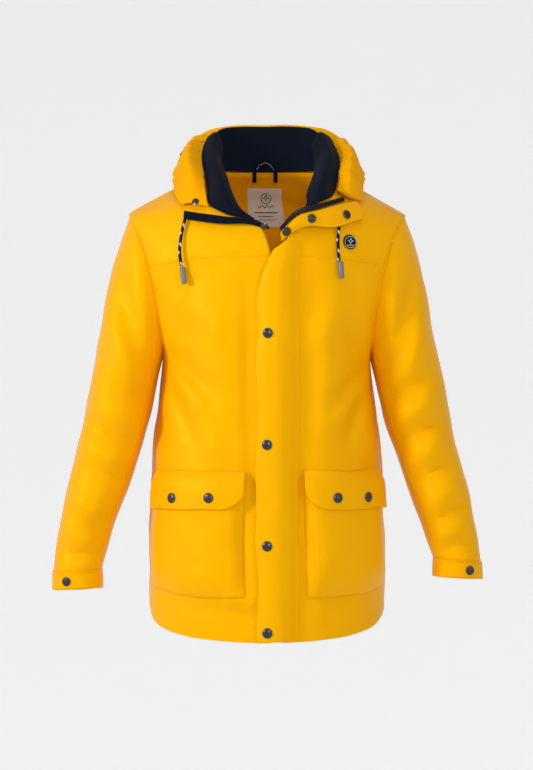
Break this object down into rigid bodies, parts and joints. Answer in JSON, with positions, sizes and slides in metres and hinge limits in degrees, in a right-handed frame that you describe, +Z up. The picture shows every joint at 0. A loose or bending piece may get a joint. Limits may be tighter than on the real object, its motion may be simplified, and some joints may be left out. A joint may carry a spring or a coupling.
{
  "type": "foul weather jacket",
  "caption": "Hooded waterproof jacket with a zipped front under a snapped storm flap, lidded patch pockets and strap cuffs",
  "frame": {"origin": "top of the hanger loop inside the back of the neck, where the jacket is hung up", "axes": "+Z up, the front faces -Y, +X towards the wearer's left sleeve"},
  "size_m": [0.7064, 0.3659, 0.8406],
  "materials": {
    "shell_yellow": "smooth satin polyurethane-coated shell cloth",
    "facing_yellow": "uncoated yellow facing cloth",
    "lining_navy": "matt woven navy lining",
    "zip_black": "black moulded zip",
    "snap_navy": "dark lacquered snap cap",
    "snap_brass": "aged brass snap part",
    "label_white": "woven off-white label",
    "badge_navy": "embroidered navy badge",
    "cord_navy": "braided navy cord",
    "tip_grey": "grey moulded cord end"
  },
  "bodies": {
    "shell": {"front_panel_right": "shell_yellow", "front_panel_left": "shell_yellow", "back_panel": "shell_yellow", "front_yoke_right": "shell_yellow", "front_yoke_left": "shell_yellow", "back_yoke": "shell_yellow", "pocket_bag_right": "shell_yellow", "pocket_bag_left": "shell_yellow", "zip_half_right": "zip_black", "zip_half_left": "zip_black", "collar_lining_right": "lining_navy", "collar_lining_left": "lining_navy", "hood_edge_right": "facing_yellow", "hood_edge_left": "facing_yellow", "zip_upper_left": "zip_black", "storm_flap_end": "shell_yellow", "collar_socket_1": "snap_brass", "collar_socket_2": "snap_brass", "collar_socket_3": "snap_brass", "wind_guard": "lining_navy", "collar_stud_1": "snap_brass", "collar_stud_2": "snap_brass", "hood_stand": "lining_navy", "neck_facing": "facing_yellow", "neck_label": "label_white", "hanger_loop": "lining_navy", "hem_facing": "facing_yellow", "drawcord_right": "cord_navy", "cord_tip_right": "tip_grey", "cord_eyelet_right": "snap_brass", "drawcord_left": "cord_navy", "cord_tip_left": "tip_grey", "cord_eyelet_left": "snap_brass", "chest_badge": "badge_navy"},
    "zip_slider": {"zip_slider": "zip_black"},
    "zip_pull": {"zip_pull": "zip_black"},
    "storm_flap": {"storm_flap": "shell_yellow", "storm_snap_1": "snap_navy", "storm_snap_2": "snap_navy", "storm_snap_3": "snap_navy", "storm_snap_4": "snap_navy"},
    "hood": {"hood_shell": "shell_yellow", "hood_lining": "lining_navy"},
    "pocket_flap_right": {"pocket_flap_right": "shell_yellow", "pocket_snap_right_inner": "snap_navy", "pocket_snap_right_outer": "snap_navy"},
    "sleeve_right": {"sleeve_top_right": "shell_yellow", "sleeve_under_right": "shell_yellow", "cuff_right": "shell_yellow"},
    "cuff_tab_right": {"cuff_tab_right": "shell_yellow", "cuff_snap_right": "snap_navy"},
    "pocket_flap_left": {"pocket_flap_left": "shell_yellow", "pocket_snap_left_inner": "snap_navy", "pocket_snap_left_outer": "snap_navy"},
    "sleeve_left": {"sleeve_top_left": "shell_yellow", "sleeve_under_left": "shell_yellow", "cuff_left": "shell_yellow"},
    "cuff_tab_left": {"cuff_tab_left": "shell_yellow", "cuff_snap_left": "snap_navy"}
  },
  "joints": [
    {"name": "zip_slide", "type": "slide", "parent": "shell", "child": "zip_slider", "axis": [0, 0, -1], "range_m": [0, 0.55]},
    {"name": "zip_pull_swing", "type": "hinge", "parent": "zip_slider", "child": "zip_pull", "pos_m": [0.02, -0.20635, -0.19], "axis": [-1, 0, 0], "range_deg": [0, 12]},
    {"name": "storm_flap_open", "type": "hinge", "parent": "shell", "child": "storm_flap", "pos_m": [0.055, -0.20181, -0.49], "axis": [0, 0, 1], "range_deg": [0, 95]},
    {"name": "pocket_flap_right_lift", "type": "hinge", "parent": "shell", "child": "pocket_flap_right", "pos_m": [-0.11903, -0.17569, -0.511], "axis": [-0.837, 0.5471, 0], "range_deg": [0, 60]},
    {"name": "sleeve_right_swing", "type": "hinge", "parent": "shell", "child": "sleeve_right", "pos_m": [-0.224, -0.0601, -0.089], "axis": [0, 1, 0], "range_deg": [0, 35]},
    {"name": "cuff_tab_right_open", "type": "hinge", "parent": "sleeve_right", "child": "cuff_tab_right", "pos_m": [-0.28339, -0.1238, -0.68988], "axis": [0, 0, 1], "range_deg": [0, 60]},
    {"name": "pocket_flap_left_lift", "type": "hinge", "parent": "shell", "child": "pocket_flap_left", "pos_m": [0.13814, -0.16864, -0.511], "axis": [-0.7849, -0.6197, 0], "range_deg": [0, 60]},
    {"name": "sleeve_left_swing", "type": "hinge", "parent": "shell", "child": "sleeve_left", "pos_m": [0.23, -0.0601, -0.089], "axis": [0, -1, 0], "range_deg": [0, 35]},
    {"name": "cuff_tab_left_open", "type": "hinge", "parent": "sleeve_left", "child": "cuff_tab_left", "pos_m": [0.28939, -0.1238, -0.67188], "axis": [0, 0, -1], "range_deg": [0, 60]},
    {"name": "hood_flip", "type": "hinge", "parent": "shell", "child": "hood", "pos_m": [0.003, 0.0299, 0.05], "axis": [1, 0, 0], "range_deg": [0, 100]}
  ]
}
